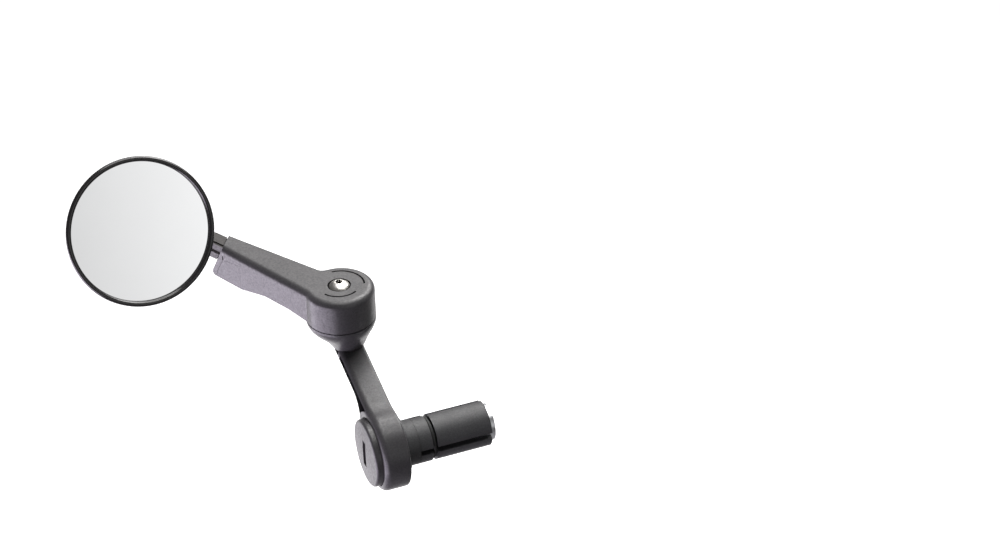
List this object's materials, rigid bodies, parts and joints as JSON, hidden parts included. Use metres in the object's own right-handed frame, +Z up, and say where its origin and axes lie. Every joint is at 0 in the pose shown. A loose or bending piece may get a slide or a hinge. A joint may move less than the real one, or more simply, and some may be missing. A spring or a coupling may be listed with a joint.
{
  "type": "bicycle bar end mirror",
  "caption": "Round convex bar end mirror on a ball joint, with a folding arm on a spring loaded knuckle, a swinging lever and an expander plug for a hollow handlebar.",
  "frame": {"origin": "on the bar's axis, in the plane of the bar's end", "axes": "+X along the plug into the bar, +Y forward in the riding direction, +Z up along the knuckle's axis"},
  "size_m": [0.1378, 0.1316, 0.108],
  "materials": {
    "collar_plastic": "fine moulded grain",
    "ring_rubber": "smooth rubber",
    "cone_aluminium": "turned",
    "jaw_plastic": "moulded",
    "zinc_steel": "zinc plated",
    "lever_plastic": "fine spark grain",
    "cap_plastic": "fine spark grain",
    "friction_plastic": "natural",
    "insert_brass": "turned",
    "stainless_steel": "bright",
    "spring_steel": "drawn wire",
    "arm_plastic": "fine spark grain",
    "panel_plastic": "fine spark grain",
    "stem_plastic": "moulded, satin",
    "silvered_glass": "silvered convex glass",
    "bezel_plastic": "polished",
    "housing_plastic": "fine moulded grain",
    "pad_foam": "closed cell foam",
    "liner_plastic": "natural",
    "nut_plastic": "moulded"
  },
  "bodies": {
    "plug": {"plug_collar": "collar_plastic", "jaw_ring": "ring_rubber"},
    "arm_base": {"lower_arm": "lever_plastic", "bolt_washer": "zinc_steel", "threaded_insert": "insert_brass", "knuckle_screw": "stainless_steel", "spring_plate": "zinc_steel", "knuckle_spring": "spring_steel", "friction_washer": "friction_plastic"},
    "fold_arm": {"upper_arm": "arm_plastic", "arm_side_panel": "panel_plastic", "mirror_stem": "stem_plastic"},
    "ball_seat": {"socket_liner": "liner_plastic"},
    "head": {"mirror_glass": "silvered_glass", "bezel_ring": "bezel_plastic", "mirror_housing": "housing_plastic", "glass_pad": "pad_foam", "socket_nut": "nut_plastic"},
    "cap": {"end_cap": "cap_plastic"},
    "bolt": {"expander_bolt": "zinc_steel"},
    "cone": {"expander_cone": "cone_aluminium"},
    "jaw_1": {"expander_jaw_1": "jaw_plastic"},
    "jaw_2": {"expander_jaw_2": "jaw_plastic"},
    "jaw_3": {"expander_jaw_3": "jaw_plastic"}
  },
  "joints": [
    {"name": "arm_swing", "type": "hinge", "parent": "plug", "child": "arm_base", "pos_m": [0, 0, 0], "axis": [1, 0, 0], "continuous": true},
    {"name": "knuckle_fold", "type": "hinge", "parent": "arm_base", "child": "fold_arm", "pos_m": [-0.0087, 0.04, 0.037], "axis": [0, 0, 1], "continuous": true},
    {"name": "head_pan", "type": "hinge", "parent": "fold_arm", "child": "ball_seat", "pos_m": [-0.07376, 0.09588, 0.06045], "axis": [-0.0253, 0.3915, 0.9198], "range_deg": [-12, 12]},
    {"name": "head_tilt", "type": "hinge", "parent": "ball_seat", "child": "head", "pos_m": [-0.07376, 0.09588, 0.06045], "axis": [0.9979, 0.0645, 0], "range_deg": [-12, 12]},
    {"name": "cap_turn", "type": "hinge", "parent": "arm_base", "child": "cap", "pos_m": [-0.0096, 0, 0], "axis": [1, 0, 0], "range_deg": [0, 90]},
    {"name": "bolt_turn", "type": "hinge", "parent": "plug", "child": "bolt", "pos_m": [0, 0, 0], "axis": [-1, 0, 0], "range_deg": [0, 720]},
    {"name": "cone_draw", "type": "slide", "parent": "plug", "child": "cone", "axis": [1, 0, 0], "range_m": [0, 0.002]},
    {"name": "jaw_1_grip", "type": "slide", "parent": "plug", "child": "jaw_1", "axis": [0, -1, 0], "range_m": [0, 0.000214]},
    {"name": "jaw_2_grip", "type": "slide", "parent": "plug", "child": "jaw_2", "axis": [0, 0.5, -0.866], "range_m": [0, 0.000214]},
    {"name": "jaw_3_grip", "type": "slide", "parent": "plug", "child": "jaw_3", "axis": [0, 0.5, 0.866], "range_m": [0, 0.000214]}
  ],
  "couplings": [
    {"joint": "bolt_turn", "follows": "cone_draw", "rad_per_m": 6283.2},
    {"joint": "jaw_1_grip", "follows": "cone_draw", "ratio": 0.1051},
    {"joint": "jaw_2_grip", "follows": "cone_draw", "ratio": 0.1051},
    {"joint": "jaw_3_grip", "follows": "cone_draw", "ratio": 0.1051}
  ]
}
